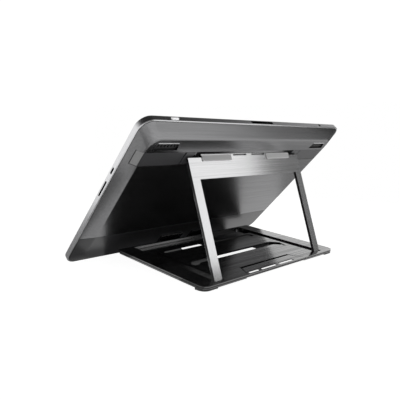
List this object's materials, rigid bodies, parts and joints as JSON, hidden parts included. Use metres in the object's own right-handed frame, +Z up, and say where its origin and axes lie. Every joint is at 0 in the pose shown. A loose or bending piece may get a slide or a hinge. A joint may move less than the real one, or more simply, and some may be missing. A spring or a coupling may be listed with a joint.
{
  "type": "pen drawing tablet",
  "caption": "Pen display tablet with chamfered back, fold-out prop legs and a fold-flat metal stand with a hinged leg frame and hooks.",
  "frame": {"origin": "centre of the bounding box at table level", "axes": "+X to the right of the person drawing, +Y towards the tablet's back, +Z up"},
  "size_m": [0.41, 0.222, 0.1972],
  "materials": {
    "anodised_rim": "satin anodised",
    "cover_black": "satin charcoal",
    "cover_strip": "matt charcoal",
    "prop_grey": "satin",
    "rubber_grey": "matt",
    "rubber_black": "matt",
    "lamp_lens": "frosted",
    "brushed_alloy": "brushed",
    "stand_black": "black anodised satin",
    "steel": "polished",
    "screen_glass": "etched dark, opaque when off",
    "panel_film": "satin",
    "board_green": "solder mask",
    "brass": "turned",
    "port_dark": "dark satin",
    "button_silver": "polished"
  },
  "bodies": {
    "stand_base": {"base_plate": "stand_black", "rear_insert": "stand_black", "rear_foot_left": "rubber_black", "rear_foot_right": "rubber_black", "front_hook_left": "stand_black", "front_hook_right": "stand_black", "leg_pin_left": "steel", "leg_pin_right": "steel", "frame_magnet_left": "steel", "frame_magnet_right": "steel", "hook_rivet_left_1": "steel", "hook_rivet_left_2": "steel", "hook_rivet_right_1": "steel", "hook_rivet_right_2": "steel"},
    "leg_frame_body": {"leg_frame": "brushed_alloy", "beam_pad_left": "rubber_grey", "beam_pad_right": "rubber_grey"},
    "tablet": {"back_cover": "cover_black", "lower_cover": "cover_strip", "side_frame": "anodised_rim", "cover_glass": "screen_glass", "lcd_panel": "panel_film", "backlight_unit": "panel_film", "pen_sensor_board": "board_green", "shield_plate": "steel", "main_board": "board_green", "board_post_1": "brass", "board_post_2": "brass", "board_post_3": "brass", "board_post_4": "brass", "heat_spreader": "brushed_alloy", "usb_socket": "port_dark", "card_socket": "port_dark", "vent_grille_left": "port_dark", "vent_grille_right": "port_dark", "top_grille": "port_dark", "power_switch": "port_dark", "status_lamp": "lamp_lens", "prop_hinge_cap_left": "prop_grey", "prop_hinge_cap_right": "prop_grey", "prop_pin_left": "steel", "prop_pin_right": "steel"},
    "prop_left": {"prop_leg_left": "prop_grey", "prop_foot_left": "rubber_grey"},
    "prop_right": {"prop_leg_right": "prop_grey", "prop_foot_right": "rubber_grey"},
    "button": {"power_button": "button_silver"}
  },
  "joints": [
    {"name": "tablet_tip", "type": "hinge", "parent": "stand_base", "child": "tablet", "pos_m": [0, -0.1056, 0], "axis": [1, 0, 0], "range_deg": [0, 40]},
    {"name": "leg_fold", "type": "hinge", "parent": "stand_base", "child": "leg_frame_body", "pos_m": [0, 0.10037, 0.0048], "axis": [1, 0, 0], "range_deg": [0, 67]},
    {"name": "prop_left_fold", "type": "hinge", "parent": "tablet", "child": "prop_left", "pos_m": [-0.1245, 0.04768, 0.15163], "axis": [0, -0.6887, -0.725], "range_deg": [0, 90]},
    {"name": "prop_right_fold", "type": "hinge", "parent": "tablet", "child": "prop_right", "pos_m": [0.1245, 0.04768, 0.15163], "axis": [0, 0.6887, 0.725], "range_deg": [0, 90]},
    {"name": "power_button_press", "type": "slide", "parent": "tablet", "child": "button", "axis": [0, -0.6887, -0.725], "range_m": [0, 0.0006], "stiffness_N_per_m": 600, "springref_m": -0.0008}
  ],
  "couplings": [
    {"joint": "leg_fold", "follows": "tablet_tip", "ratio": 1.6745}
  ]
}
